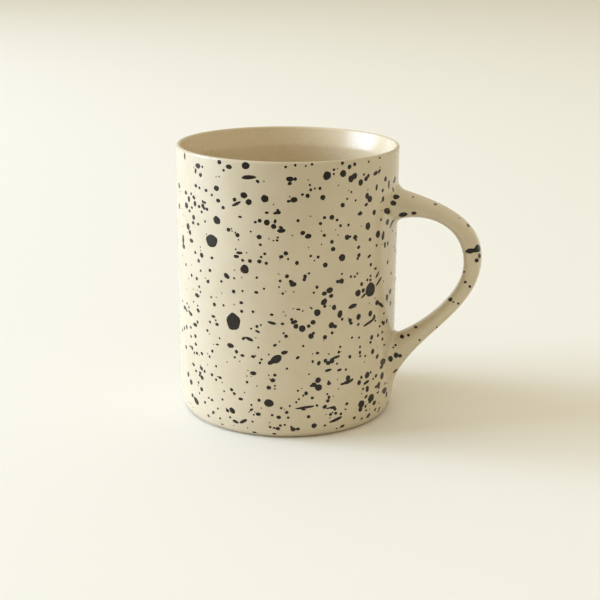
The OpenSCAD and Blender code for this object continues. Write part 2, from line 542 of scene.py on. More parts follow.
class MUG_OT_cup_coat(bpy.types.Operator):
    """Spin the cup's coat of glaze and open it where the handle is joined"""

    bl_idname = "mug.cup_coat"
    bl_label = "Cup glaze"

    def execute(self, context):
        c = context.scene.mug_cup
        outline = coat_outline(c)
        deselect()
        r, z = outline[0]
        bpy.ops.mesh.primitive_plane_add(size=MM, location=(0, 0, 0))
        coat = start("cup_glaze_coat")
        bpy.ops.mesh.merge(type="CENTER")
        bpy.ops.transform.translate(value=(r, 0, z))
        for r2, z2 in outline[1:]:
            bpy.ops.mesh.extrude_region_move(
                TRANSFORM_OT_translate={"value": (r2 - r, 0, z2 - z)})
            r, z = r2, z2
        bpy.ops.mesh.select_all(action="SELECT")
        bpy.ops.mesh.spin(steps=c.steps, angle=math.tau, center=(0, 0, 0), axis=(0, 0, 1))
        close(coat)
        for low, high in self.roots(context):
            self.open_window(coat, c, low, high)
        paint(coat, finish_named("glossy_cream_glaze", cream_glaze, context.scene.mug_finish))
        settle(coat)
        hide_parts("outer_glaze", "liner_glaze")
        return {"FINISHED"}

    def roots(self, context):
        """The part of the wall that each end of the handle covers, lowest and highest corner."""
        return [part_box("lower_slip_joint"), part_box("upper_slip_joint")]

    def open_window(self, coat, c, low, high):
        """Cuts the coat away over a slip joint and closes the cut's edge."""
        mesh = coat.data
        centre = np.array([p.center for p in mesh.polygons])
        inset = 1.6 * MM
        y = centre[:, 1] / (high.y - inset)
        z = (centre[:, 2] - (low.z + high.z) / 2) / ((high.z - low.z) / 2 - inset)
        out = np.hypot(centre[:, 0], centre[:, 1]) > c.radius - c.wall / 2
        inside = (np.abs(y) ** 2.5 + np.abs(z) ** 2.5 < 1) & out & (centre[:, 0] > 0)
        if not inside.any():
            raise RuntimeError("no faces of the coat lie over the slip joint")
        select_faces(mesh, inside)
        bpy.ops.object.mode_set(mode="EDIT")
        bpy.ops.mesh.select_mode(type="FACE")
        bpy.ops.mesh.delete(type="FACE")
        select_rim()
        bpy.ops.mesh.bridge_edge_loops()
        bpy.ops.mesh.select_all(action="DESELECT")
        bpy.ops.mesh.select_mode(type="VERT")
        bpy.ops.object.mode_set(mode="OBJECT")
        bpy.ops.object.shade_smooth_by_angle(angle=math.radians(SMOOTH_ANGLE))


def select_faces(mesh, wanted):
    """Selects only the wanted faces, in object mode."""
    mesh.vertices.foreach_set("select", np.zeros(len(mesh.vertices), bool))
    mesh.edges.foreach_set("select", np.zeros(len(mesh.edges), bool))
    mesh.polygons.foreach_set("select", np.ascontiguousarray(wanted, bool))


# ---------------------------------------------------------------- the handle's coat


WRAP = 9 * MM
UPPER_SHARE = 0.03
LOWER_SHARE = 0.05


def bezier(p, t):
    p = np.array(p)
    return ((1 - t) ** 3 * p[0] + 3 * (1 - t) ** 2 * t * p[1]
            + 3 * (1 - t) * t * t * p[2] + t ** 3 * p[3])


def edge(curves, u):
    return bezier(curves[0], 2 * u) if u < 0.5 else bezier(curves[1], 2 * u - 1)


def signed_power(value, exponent):
    return np.sign(value) * np.abs(value) ** exponent


class Strap:
    """The strap's surface, as in CAD: two edges seen from the side and a squarish section."""

    def __init__(self, c, h):
        self.c = c
        self.h = h
        r = c.radius
        far = r + h.reach
        self.over = [
            [(r, h.top), (r + 13 * MM, h.top - 4 * MM),
             (far, h.bend + 16 * MM), (far, h.bend)],
            [(far, h.bend), (far, h.bend - 20 * MM),
             (r + 5 * MM, h.foot + 20 * MM), (r, h.foot)]]
        near = far - h.thickness
        low = h.bend - 1.5 * MM
        self.under = [
            [(r, h.top - 11.5 * MM), (r + 12.5 * MM, h.top - 7 * MM),
             (near, low + 13.5 * MM), (near, low)],
            [(near, low), (near, low - 12 * MM),
             (r + 10 * MM, h.foot + 24 * MM), (r, h.foot + 20 * MM)]]

    def ring(self, u, inset):
        """Points round the section at u, from the upper root at 0 to the lower root at 1."""
        turns = np.radians(np.arange(self.h.sides) * 360 / self.h.sides)
        return self.points(u, turns, inset)

    def points(self, u, turns, inset):
        h, wall = self.h, self.c.radius
        top, under = edge(self.over, u), edge(self.under, u)
        middle = (top + under) / 2
        half_t = float(np.linalg.norm(top - under)) / 2
        across = (top - under) / (2 * half_t)
        half_w = (h.width + (h.root - h.width) * (2 * u - 1) ** 4) / 2
        power = 2 / h.squareness
        lift = (half_t - inset) * signed_power(np.cos(turns), power)
        p = middle + across * lift[:, None]
        x = np.maximum(0, p[:, 0] - wall)
        r = h.upper_fillet if u < 0.5 else h.lower_fillet
        near = np.minimum(x, r)
        spread = r - np.sqrt(r * r - (r - near) ** 2)
        q = p + across * (spread * np.cos(turns))[:, None]
        y = (half_w - inset) * signed_power(np.sin(turns), power) + spread * np.sin(turns)
        follow = np.where(x < WRAP, (1 + np.cos(math.pi * x / WRAP)) / 2, 0)
        back = (wall - np.sqrt(wall * wall - y * y)) * follow
        sink = 0.085 * MM * (1 - smooth(x / (2.2 * MM)))
        return np.column_stack([q[:, 0] - back - sink, y, q[:, 1]])

    def on_clay(self, ring):
        """The ring's points moved along X on to the clay wall."""
        clay = self.c.radius - self.c.coat + 0.01 * MM
        moved = ring.copy()
        moved[:, 0] = np.sqrt(clay * clay - ring[:, 1] ** 2)
        return moved


def smooth(t):
    t = np.clip(t, 0, 1)
    return t * t * (3 - 2 * t)


def strap_steps(fillet_rings, rings):
    """Places along the strap: close together in the root fillets, even in between."""
    turns = [1 - math.cos(math.pi / 2 * k / fillet_rings) for k in range(fillet_rings + 1)]
    middle = [UPPER_SHARE + (1 - UPPER_SHARE - LOWER_SHARE) * k / rings
              for k in range(1, rings)]
    return [UPPER_SHARE * t for t in turns] + middle + [1 - LOWER_SHARE * t
                                                        for t in reversed(turns)]


class MUG_OT_handle_coat(bpy.types.Operator):
    """Draw the handle's coat of glaze from root to root, as a sleeve over the clay strap"""

    bl_idname = "mug.handle_coat"
    bl_label = "Handle glaze"

    def execute(self, context):
        c, h = context.scene.mug_cup, context.scene.mug_handle
        strap = Strap(c, h)
        face = [strap.ring(u, c.skin) for u in strap_steps(8, 66)]
        back = [strap.ring(u, c.coat - 0.01 * MM) for u in strap_steps(4, 34)]
        rings = ([strap.on_clay(face[0])] + face + [strap.on_clay(face[-1])]
                 + [strap.on_clay(back[-1])] + back[::-1] + [strap.on_clay(back[0])])
        deselect()
        bpy.ops.mesh.primitive_circle_add(vertices=h.sides, radius=MM, location=(0, 0, 0))
        coat = start("handle_glaze_coat")
        for _ in rings[1:]:
            bpy.ops.mesh.extrude_region_move(TRANSFORM_OT_translate={"value": (0, 0, MM)})
        bpy.ops.object.mode_set(mode="OBJECT")
        place_rings(coat.data, rings, h.sides)
        bpy.ops.object.mode_set(mode="EDIT")
        select_rim()
        bpy.ops.mesh.bridge_edge_loops()
        bpy.ops.mesh.select_mode(type="VERT")
        close(coat)
        paint(coat, finish_named("glossy_cream_glaze", cream_glaze, context.scene.mug_finish))
        settle(coat)
        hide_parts("handle_glaze")
        return {"FINISHED"}


def place_rings(mesh, rings, sides):
    """Moves each extruded ring on to its section of the strap."""
    co = np.array([v.co for v in mesh.vertices])
    level = np.round(co[:, 2] / MM).astype(int)
    turn = np.round(np.arctan2(co[:, 1], co[:, 0]) / (math.tau / sides)).astype(int) % sides
    if len(co) != len(rings) * sides:
        raise RuntimeError("the strap doesn't have one ring of points for each section")
    mesh.vertices.foreach_set("co", np.stack(rings)[level, turn].ravel())
    mesh.update()


# ---------------------------------------------------------------- the splatter


# Drops on the near side: turn in degrees from the handle, then height, width and tallness in
# millimetres, then lean in degrees, anticlockwise seen from outside. A round drop leaves out
# its tallness, and an upright one its lean.
NEAR_DROPS = """
-141 98 .9 2.5; -128 96 2.4 1.7; -130 94 .9 1.9 -15; -126 93 1.4; -124.5 96 .8; -113 98.6 1.6 1.5
-107.5 97.4 2.3 1.5; -110.5 96 .9; -115 89.4 2.2 1.8; -122 88 1.3 1.1; -130 88.8 1.4 1.2; -127 88.4 1 .9
-118 86.8 .9; -114 85.2 1.7 1.3; -104.5 86.3 1.4 1.3; -103.5 84.9 3.9 .9 28; -99.5 88.1 2.5 2
-111 83 1.3 1.1; -140.5 85 1.6 1.3; -137 83.2 1.4 2.1; -140 80.5 2.2 2; -132 84.4 1.6 1.2 -20
-131 82.3 1.4 1.9; -127.5 81.7 1.3 1; -124.5 83.8 .9 1; -124.5 82.3 1.4 1.7; -123.5 81.5 1.2 1
-121.5 81.4 1.2 1.1; -123 83.6 1.1 .9; -125.5 80 1; -134.5 85.4 .9; -152 78.6 1.8 2; -151.5 86.2 1.8 2.2
-134 80.5 1.1 .9; -136.5 79 1.3 .9; -98.5 98.3 2.7 2.4; -97 94.4 5.3 1.3 6; -92.5 93.2 1.3 .9 -35
-79 98.4 .8; -74.5 99 .8; -69.5 98.7 .6; -66.5 99.2 .9 .7; -77 94.3 2.5 1.6; -74.5 94.3 1.1 1.2
-77 92.8 1.2 1.1; -67.5 92.2 .7; -67 90.5 .9; -65 90.9 .6; -62.5 90.9 1; -71 89 .9 .8; -68.5 88.5 1.4
-61 87.7 1.8 1.7; -89 87.4 2.5; -97 85.9 2.1 2; -75 87.2 2.3 1.7 5; -77.5 86.7 1.3 .8 5
-88 82.6 1.3 .8 5; -82.5 82.8 1.7 1.3; -82.7 83.5 .9 1; -84 82.5 1.1 .8; -59 95.1 2.7 2.9 -15
-55.5 97 .9 .8; -55.5 95.5 .7; -51 99 1.1; -50.5 95.4 2.2 2.4 20; -47 97.5 1.5; -44 98.2 1.2
-35 98.4 .7; -26.5 99 .9 .5; -46 93.3 2.1 2.3; -44 94.1 2.4 2 20; -40 91.6 1.9 2.1 -10; -38 94.2 .8
-36.5 92.6 1.7 1.5 30; -35 93.5 1.2 1.2 30; -29.5 93.9 2.1 1.3 15; -26.5 94.3 1.5 1.1 40
-20.5 90.9 1.5 1.8; -16.5 88.5 1 3; -28.5 88.8 1 2.1 -10; -23 87.1 1.2; -10.5 86 1.8 1.1 -45
-22.5 84 1.4 1.8; -35.5 86.5 1.6 2; -33.5 85.2 2 2.3 -15; -36 83.5 1.5 1 20; -45.7 88.7 .6 .8
-48 86.5 .8 .6; -43 85.6 .7; -50.5 84.5 1.6 1.5; -30 80.1 1.5 1.9; -40 80.7 2 1.2 8
-115 78.2 3.1 2.6 -30; -118.6 70.5 5.1 4.4; -108 75.5 1.5 1.3; -103 74 1.5 1.4; -104.2 74.8 .6
-106.3 76 .5; -101.5 80.5 1.3 .7; -132.5 77.2 1.5 1.7; -133 75.2 1.2; -128.5 75.3 1.2 .9
-123 76.9 .7 .8; -138.5 73.1 1.9 2.3 -10; -136.5 71.2 1.4 1.8 -10; -135 68.4 2 1.4; -145.5 67.2 1.6 3.4
-145 64.8 2.2 1.8; -126 64.4 1.7 1.7 -20; -131.5 64.6 1 1.1; -128.5 62 1.2 1.3; -118.5 64.4 1.2 1
-120 59.7 1.2 1.1; -127 58.6 .8; -109.3 58.9 2.5 1.6 -35; -112.5 56.6 1 .8; -121.5 55.4 1.3 1.2
-130.5 55.2 1.2 1.1; -135.5 55.6 1 1.1; -142 58.5 .9 1.1; -128.5 52.5 .9; -105 58.5 .7; -105.3 53.7 1.3
-100.5 54.3 .7; -102 67.8 2.4 .9 3; -103.7 66.4 2 1.1; -100.3 65.3 1.1 .9 -35; -104 68.9 .6
-99.3 62.2 3.1 3; -88 79.2 2; -91.5 79.7 1.3; -93.7 79.1 1 .8; -84 79.7 .9 1.4 -10; -84.7 77.9 1.7
-81.2 77.6 1.4 .9 -20; -81 76.5 2.8 1.4 5; -73 80 1; -96 75.7 .6; -91.8 74 1.7 1.5; -91.2 71.3 1 .9
-82.7 74.1 .7 .6; -83 73.1 .8 .7; -84.8 73 .5; -70.7 75.7 1.6 1.4 15; -68 74.5 2.1 1.7 10
-62 78.7 1.1 1; -60 80.7 1.1 1; -60 74.5 1.1 1; -89 68.2 .9; -90.8 67 .8; -96.5 65.3 1.3
-91.7 65.4 1.5 1.3; -88.3 64.9 1.1 1; -78.8 68.6 1.5 1.4; -81 67.4 1.5 1.1 15; -77.7 66.6 .6 .8
-73.4 65.2 1.2 1.4; -66.7 67.5 .8; -63 67 1; -78.2 60.5 1.3; -81.5 58.8 .9; -76.2 58.5 1.6 1.3 -20
-75.2 57.6 2.2 1.6 10; -82 56.6 .6; -93 59.6 .8; -89.4 55.8 .8 .6; -93.3 54.3 1.4 .9; -69.4 60.3 1.2 1.5
-69.8 59.2 1.1; -67.5 61.4 .8 .7; -63.4 56.3 1 1.1; -65 54.4 .7; -80.2 54.3 .8; -59.3 64 1.7
-56.2 80.6 1.7 1.6; -53.4 79.5 1 .9; -51.5 77.4 1; -47 77.3 .9; -24 76.8 .9 1; -34.5 75.7 2.1 2.6
-17 75 2 2.1; -26.3 71.8 2.2 2.6 -5; -21.5 70.6 1.5 3.3 -12; -47.6 73 1.9 1.8; -45.8 73.1 .9 .7
-42.8 72.6 1.7 1.6; -42.2 71.5 .8 .6; -32.7 70.7 1.3 1.2; -56 72 1.2 1.3; -55.3 69.4 1.6 1.5
-50.3 66 2.5 2.4; -40.5 68.8 1.3 1.1 20; -40.2 65.9 1.4 1.4 20; -41 64.8 .9 1; -33 64.7 1.7 .9 20
-31.7 61.5 1.1 1.2; -27.8 59.5 1.3 .8; -27.3 67.9 .9; -19.3 67.3 1.1 1.5; -19.2 66.4 1.1 .9
-16 67 1 1.5; -15.5 60 1 1.4; -50.3 60.2 .8 .6; -45 58.7 .9; -42.6 58.5 .8; -41 59.4 .8
-52.4 57.6 1.4 1.2; -50.4 57.6 1.8; -26 57 2.4 .9 45; -31.7 57.4 .9 .8; -34 56.2 .9 1; -31.7 55.9 1
-38 55.2 1.2 1.4; -31.5 52.3 4.6 5; -24.5 54.3 3.8 .9 35; -36.8 52.7 1.4 1.6; -40.3 52.2 2.4 2.3
-56.8 54.8 2.3 2 15; -59.6 53.8 1.8 1.4; -130.5 49 2.1 1.4 -5; -127.5 50.7 .7 .8; -119.4 50 .8 .6
-117.2 47.6 1.3 1.3 -20; -111.3 48 .8; -101.2 50 1.4 1; -101 46.9 1.1; -105.7 42.7 5.4 6.2
-118 43.1 1.7 .9 3; -116.4 41.9 .7; -120.4 40.7 .9 .9 -20; -115.6 40.5 1.5 1.1; -122.4 37.2 1 .9
-129.7 43.5 1.6 1.3 -20; -134 46 .6; -130 45.2 .8 .5; -141.5 44 .9 .8; -145 41.8 2 1.3 15
-142.5 41.3 1.5 1 -20; -139 41.5 1 .8; -137.2 40.9 2 1.3 -10; -139.3 43 .7 1; -130.4 39 1 1.1
-132.7 37.6 2.3 1.3; -137.4 35.7 1.2 .9; -142.6 34.8 1.2 1.5 -20; -146.3 33.6 1 1.5; -150 32 1
-149 43.5 .8; -137.2 32.3 .9 1; -132.6 33.3 1.3 1.3 -20; -132.3 30.3 1.2 1.1 -10
-136.2 28.1 1.3 1.3 -20; -138.4 28.3 .8 .7; -144 26.8 1.2 1.4; -114 35.5 .6 .7; -115.5 33 1.4 .6 5
-119 30 1 1.1; -121 27.6 .8 .9; -127 27.7 1.2 1.1 -20; -131.4 27 1.2 1.1; -134 26.7 .8 .9
-107.4 33.7 2.7 1.6 -5; -104 31.8 1.2 1.3; -100.7 30.7 1.5 .9; -105 29.6 .8; -116.5 24.7 .8
-135 22 1.6 1 -10; -63.1 47.1 2.3 2.4; -72.6 48.6 1.4 .6 -5; -66 48.8 .7 .5; -70.4 48 .6 .4; -95 47.2 .9
-85.6 46.6 1.2 .8 -5; -85.5 43.6 3.1 .9 -13; -80.3 43.4 1.2 .8; -93 42 1; -91 42.6 .6; -96 41 .7 .6
-92.7 40.2 1.7 .7 -18; -97 37.1 3 1.1 -20; -100 37.1 1.6 .9 35; -78.5 38.9 1.2 1.2 40; -79.7 40 .7
-84 35.5 1.4 .8 25; -92.3 34.3 .7; -79.3 32.9 2.3 1.3 15; -83.3 30.4 4.2 2.7 28; -86 29.1 2.4 1.4 25
-95 30.8 1.5 1; -90.7 30 .8 .7; -91.5 28.7 .9 .8 40; -87 32 .6 .5; -72.7 31 1.4 .9 35; -70 35.2 .7 .8
-62.8 32.3 1.2 .9; -65.2 29.3 .7 1.1; -62 28.5 1.2 1.7 -20; -78 27 .7; -75.8 45 1.1 1
-75.1 43.9 1.5 1.2; -74 44.2 1.3 1.2; -73.7 42.5 1.7; -70.6 41.6 2.2 2.4; -67.4 42.4 1.2
-65.2 43.7 1.7 1.6; -66.2 38.7 1.9 1.9 20; -65 39.7 1.1 .9 40; -56 52.7 1.6 1.3 5; -59.7 50.8 2.6 1.8 45
-59.3 49.2 1 1.1; -54.3 48.4 1.6 1.8; -51 45.7 1.8 2.7 -10; -49.7 43.7 1 1 30; -43.5 47.8 3.6 1.5 10
-36.4 50.8 2.6 .8 30; -39.6 43.4 1.9 2.2 -10; -45 42.7 1.4 1.6; -44.3 41.6 1.4 1; -39.7 40.6 1.2 .9 40
-55.6 42 2 2.1; -53.6 41.4 1.4 1.3; -55.2 39.2 1 1.1; -59 37.9 1.5; -43.6 36.2 .8; -39 35.6 .8
-50.5 33.6 .8; -51.3 31.7 1; -56.8 31.5 .5; -44.7 29.2 1.2 1.3 10; -38.2 32 .8 .9; -38.2 29.9 1.1 1.2
-38 28.5 .9 .8; -34.4 28 .8 .7; -31.2 43.4 1.8 2.1 -5; -31.7 40.2 6.2 .9 14; -28.5 41 2 1.1 25
-27.9 41.8 1.2 1.3; -26.7 40 .7 .8; -29.6 34.2 1.5 1.7 -10; -30.5 32.5 1.1 1; -25.7 46.6 1.9 1.8
-22 45.2 3.8 1.2 -30; -15 46.7 1.8 2.5; -10.5 48.2 2; -9.5 43.5 1.5 1.8; -18.4 41.3 .9 .8
-14.5 37.7 1.2 1.6; -22.6 37.2 1 .9; -20 38.3 1.2 .9; -18.3 37.5 1.6 1.3; -24 34 1.2; -19.8 34.4 1.1 .9
-19.3 31.7 1.2 1.1; -17 29 1.2 .8; -28.5 28.7 1.6 1.9 -15; -24.3 26 1.6 1.6 15; -18 22.7 3.3 2.6 -10
-19.6 21 2.2 1.3; -58.6 29.2 1.3 1.4; -57 28.2 1.7 1.4; -55 28.9 1.8 2; -52.7 30 2.8 .9 8; -52.2 27.5 .7
-57 25.5 2.6 .9 7; -50.8 25 1.8 .9 6; -47 24.7 .9 .8; -127.6 22 1.6 1.3 -25; -125 21.3 1; -132.6 20 1 .9
-128.7 20 1.2 1.1; -129.2 19 1 .8; -127.2 18.5 1.6 1.5 -20; -119.5 21 1.1 1.1 -10; -114 20.8 1.5 .9
-116.6 19.6 .9 .8; -141.5 16.8 1.3 2; -138 14.5 1.7 1.8 -10; -130.4 16 .8 .9; -127.7 13.9 1.5 1.4 -20
-129.6 12 .6 .7; -136.7 9.6 1.4 1.4 -15; -132.8 8.3 3 2 -30; -125 9.4 .9 1; -119.7 11.3 1.2 .8
-122 11.7 .8 .6; -112.6 12.7 .8; -107 17.2 1.3 1.1 -10; -105.4 15.9 1.2 .9 -30; -101.8 14.3 1.7 1
-111.5 16 .7 .5; -115.7 8.7 .7; -118.8 6.7 1.1; -123 4.4 1.1 1 -30; -109.5 8.9 1.4 1.1 -40
-106.7 9.3 2.6 1.8 -40; -114.6 5 .8; -108 6.5 .8; -105 5.2 2.5 1.1 -15; -100.5 5.9 3.3 1.1 32
-114.2 2.5 .9 .6; -95 24.6 2.2 1.4; -98.3 21 .9; -84 24.5 1.1 1; -87 24.3 .5; -85 22.5 1.7 1.4 10
-87 19.7 1.6 1.4; -84 20.5 .7 .5; -84 19.4 .6 .5; -67 24.7 .6 .5; -72.5 18.7 .7; -62.3 22.2 2
-64.4 20.6 1.8 1.7; -65.8 20.3 .9; -62 19.4 2.4; -68.4 17.6 1.3 1.4; -69.8 16.8 .6 .8; -65.2 15.7 1.1 1
-72 15.5 .7 .6; -73.3 14.4 .6 .8; -76.5 13 .6 .8; -92 14.7 1.1; -87 13.9 3.4 2.7 5; -96 12.6 .7
-96 10.8 1.4 .8 33; -80.8 12.2 .8; -78 10.6 1.2 1.1; -92.4 9.4 1.8 1.2 5; -94.8 9 .6; -85.3 9.4 .9 .8
-82 8.7 1.6 1.2; -77.3 8.6 .9 .8; -67 8.7 1.2; -68.8 12.3 7 .8 6; -62.7 12.7 1 .8 -30
-69.6 11.5 1.6 .5 -3; -64 5 1.9; -86.4 4.7 1 .9; -84.4 4.4 .9 .7; -82.5 4.2 1.5 1.3; -81.2 5.5 1 .9
-79 5.8 .8 .7; -74.7 3.9 1.8 1.7; -75.7 5 .8; -72.3 4 1.4 1.2; -84.5 1.7 1.3 .7; -95.2 1.6 1.6 .7 -10
-95.5 6.3 .7; -45.6 21.3 1.9 2; -46 19.8 3.2 1.3 6; -48.8 19.5 1.8 .8; -43.5 20.2 1.8 1 25
-56.5 20.5 1.5 1.2; -56.7 21.3 .7; -57.3 16.6 .7; -56.4 15.3 1 1.2; -57 14 1.3 1.2 30
-32.5 20.4 2.3 2.3 10; -36.8 20.3 1.1; -38.3 18.5 1.7 1.8 -5; -33 17.7 2.8 1.1 12; -35.4 15.6 .9
-32.2 15 1.5 2.3 -5; -33 12.2 1.6 1 25; -29.8 21 .8 .9; -27.5 18 .8; -25 18.7 1.4 1.2
-18.6 17.4 2.2 2.6 -8; -22 14.8 1.6 1.7; -24.3 14.4 1.8 1; -22 13.6 1.4 1; -22.8 11.8 1.4 .6
-28.9 10.9 3.1 2.8 10; -29.8 9.6 1.6 1; -26 8.4 1.8 1.6 10; -36.4 9.9 2.9 2.8 15; -37 8 1.8
-33.3 8.5 .9 1.1; -32.7 6.8 .9 .8; -46 11.6 1.3 1; -46.8 9.6 .8 .5; -58.6 11.9 1.7 1.3 25
-56.3 11.2 2.2 .5 5; -54.2 11.2 2.2 1; -53 10.5 1.2 1.1 -45; -55.4 8.7 1.1 1; -52.5 8.8 1.1
-54.3 9.3 .5 .6; -49.5 8.2 1; -52.3 6.3 5.4 1.1 16; -58.2 4.6 .8; -47.7 2.9 1.9 1.2 20; -50.8 2.4 .8 .5
-40.8 5.3 1.2 1.1 20; -35 3.9 1; -29.8 4 1.8 1.9; -24.6 5.4 1.1; -20 4.8 1.3 1; -17.5 79 4.3 2.2 -14
-11.5 73.5 3.2 1 35; -20 3.6 1.1 .8; -15 10.8 3.2 2.4 -10; -12 8.5 1.4 2; -14.6 13.5 1 .8
"""


def listed(text):
    """The drops of a list, as rows of five numbers."""
    drops = []
    for item in text.strip().replace("\n", ";").split(";"):
        first, second, wide, *rest = [float(word) for word in item.split()]
        tall = rest[0] if rest else wide
        lean = rest[1] if len(rest) > 1 else 0
        drops.append((first, second, wide, tall, lean))
    return drops


FLAT = 0.72
SHOULDER = 0.93


def model_drop(name, around, rings=1):
    """A flat-topped drop one unit across: a disc in rings, a rounded shoulder and a skirt."""
    deselect()
    bpy.ops.mesh.primitive_circle_add(
        vertices=around, radius=0.5, fill_type="TRIFAN", location=(0, 0, 0))
    drop = start(name)
    bpy.ops.transform.translate(value=(0, 0, 1))
    first = FLAT / rings
    bpy.ops.transform.resize(value=(first, first, 1), center_override=(0, 0, 0))
    for ring in range(1, rings):
        rim_out((ring + 1) / ring, 0)
    rim_out(SHOULDER / FLAT, -0.35)
    rim_out(1 / SHOULDER, -0.65)
    rim_out(0.96, -1.6)
    bpy.ops.mesh.edge_face_add()
    return close(drop, 60)


def rim_out(scale, drop):
    """Extrudes the drop's open rim, scales it and lowers it."""
    select_rim()
    bpy.ops.mesh.extrude_edges_move(TRANSFORM_OT_translate={"value": (0, 0, drop)})
    bpy.ops.transform.resize(value=(scale, scale, 1), center_override=(0, 0, 0))


SHORT_REACH = 4 * MM
LONG_REACH = 14 * MM


class Surface:
    """The glazed surface that drops lie on: the cup's coat and the handle's."""

    def __init__(self):
        points, faces = [], []
        for name in ("cup_glaze_coat", "handle_glaze_coat"):
            piece = bpy.data.objects[name]
            shift = len(points)
            points += [v.co.copy() for v in piece.data.vertices]
            faces += [[shift + i for i in p.vertices] for p in piece.data.polygons]
        self.tree = BVHTree.FromPolygons(points, faces)
        self.reach = SHORT_REACH

    def lay(self, point, away, lift):
        """The point that lies under a point on the surface, seen along away, raised by lift."""
        place, normal, _, _ = self.tree.ray_cast(
            point + away * self.reach, -away, 2 * self.reach)
        if place is None:
            place, normal, _, _ = self.tree.find_nearest(point)
        return place + normal * lift


def lay_drop(master, surface, place, size, lean, chance, s):
    """A copy of the master drop, stretched, made irregular and laid on the surface."""
    anchor, right, up = place
    away = right.cross(up)
    drop = master.copy()
    drop.data = master.data.copy()
    bpy.context.scene.collection.objects.link(drop)
    wide, tall = size
    turn = math.radians(lean)
    across = right * math.cos(turn) + up * math.sin(turn)
    along = up * math.cos(turn) - right * math.sin(turn)
    big = max(0.0, min(1.0, (max(size) - MM) / (3 * MM)))
    waves = [(k, chance.uniform(0, math.tau), chance.uniform(0.2, 1) * (0.02 + 0.03 * big))
             for k in (2, 3, 5)]
    for v in drop.data.vertices:
        around = math.atan2(v.co.y, v.co.x)
        ragged = 1 + sum(swing * math.cos(k * around + phase) for k, phase, swing in waves)
        flat = anchor + across * (v.co.x * wide * ragged) + along * (v.co.y * tall * ragged)
        flat.z = min(flat.z, s.top)
        v.co = surface.lay(flat, away, s.thickness * v.co.z)
    return drop


def join_drops(drops, name, context):
    """Joins the drops into one piece of black glaze."""
    deselect()
    for drop in drops:
        drop.select_set(True)
    context.view_layer.objects.active = drops[0]
    bpy.ops.object.join()
    piece = context.object
    piece.name = name
    piece.data.name = name
    paint(piece, finish_named("glossy_black_glaze", black_glaze, context.scene.mug_finish))
    settle(piece)


class MUG_OT_cup_splatter(bpy.types.Operator):
    """Flick black glaze on the outside of the cup"""

    bl_idname = "mug.cup_splatter"
    bl_label = "Cup splatter"

    def execute(self, context):
        c, s = context.scene.mug_cup, context.scene.mug_splatter
        surface = Surface()
        chance = random.Random(s.seed)
        round_drop = model_drop("round_drop", 14)
        big_drop = model_drop("big_drop", 24)
        fine_drop = model_drop("fine_drop", 8)
        drops = []
        near = [(turn, z, self.widened(turn, wide), tall, lean)
                for turn, z, wide, tall, lean in listed(NEAR_DROPS)]
        for turn, z, wide, tall, lean in near + self.far(s, chance) + self.fine(s, chance):
            t = math.radians(turn)
            r = c.radius
            if z * MM < c.corner_height:
                dip = c.corner_height - z * MM
                r = c.radius - c.corner + math.sqrt(c.corner ** 2 - dip ** 2)
            anchor = Vector((r * math.cos(t), r * math.sin(t), z * MM))
            right = Vector((-math.sin(t), math.cos(t), 0))
            largest = max(wide, tall)
            master = big_drop if largest > 2 else fine_drop if largest < 0.65 else round_drop
            drops.append(lay_drop(
                master, surface, (anchor, right, Vector((0, 0, 1))),
                (wide * MM + s.spread, tall * MM + s.spread), lean, chance, s))
        join_drops(drops, "cup_splatter", context)
        for master in (round_drop, big_drop, fine_drop):
            bpy.data.objects.remove(master)
        return {"FINISHED"}

    def widened(self, turn, wide):
        """The listed width, made up to 30 % wider towards the two edges of the near side."""
        from_middle = abs(turn + 78)
        return wide * (1 + 0.3 * float(smooth((from_middle - 30) / 40)))

    def far(self, s, chance):
        """Random drops on the far side, a few large and most small, some in streaks."""
        made = []
        while len(made) < s.far_drops:
            turn = chance.uniform(0, 198) if chance.random() < 0.97 else chance.uniform(-10, 0)
            z = chance.uniform(3, 98)
            on_handle_root = abs(turn) < 13 and (7 < z < 33 or 71 < z < 88)
            if on_handle_root:
                continue
            wide = min(5.5, 0.65 * math.exp(abs(chance.gauss(0, 0.62))))
            tall = wide * chance.uniform(0.7, 1.25)
            lean = chance.uniform(-30, 30)
            if chance.random() < 0.06:
                wide, tall = wide * 2.2, wide * 0.5
            made.append((turn, z, wide, tall, lean))
            for _ in range(int(chance.random() < 0.3) * chance.randint(1, 3)):
                made.append((
                    turn + chance.gauss(0, 2.2), min(98, max(3, z + chance.gauss(0, 1.4))),
                    chance.uniform(0.6, 1.4), chance.uniform(0.6, 1.3), 0))
        return made

    def fine(self, s, chance):
        """Pin-head drops all round."""
        return [(chance.uniform(-180, 180), chance.uniform(2, 98), chance.uniform(0.25, 0.5),
                 chance.uniform(0.25, 0.5), 0) for _ in range(s.fine_drops)]


# Drops on the handle's near side: place along the strap, from 0 at the upper root to 1 at the
# lower one, and turn round the section (0 outer edge, -90 near side, -180 inner edge). Then
# width, tallness and lean as above, as the camera sees them.
HANDLE_DROPS = """
.005 -79 2.2 1.7; .010 -57 2 1.7 15; .017 -53 1.2 1.1; .043 -115 3.1 1.4 10; .09 -104 1.8 .95
.075 -25 .6 .5; .168 -12 1.2 .8; .28 -12 .4; .332 -4 1.3; .435 -88 3.6 1.7 6; .439 -60 1.7 1.8
.438 -36 2.4 2.8; .472 -34 1.3 1.8; .484 -62 1.5 1.4; .53 -138 .6; .57 -100 .9 .8; .582 -70 .9
.655 -72 .7; .67 -135 1.3 1.5; .664 -98 .6 .5; .76 -52 .6; .835 -75 .7 .6; .868 -154 1.1 1; .90 -130 .9
.937 -142 1.4; .965 -121 .8 .7; .977 -118 .5 .6; .985 -95 1.7 2.1; .954 -92 1.7 1.9; .929 -84 1.3
.955 -48 2.1 .7 42
"""


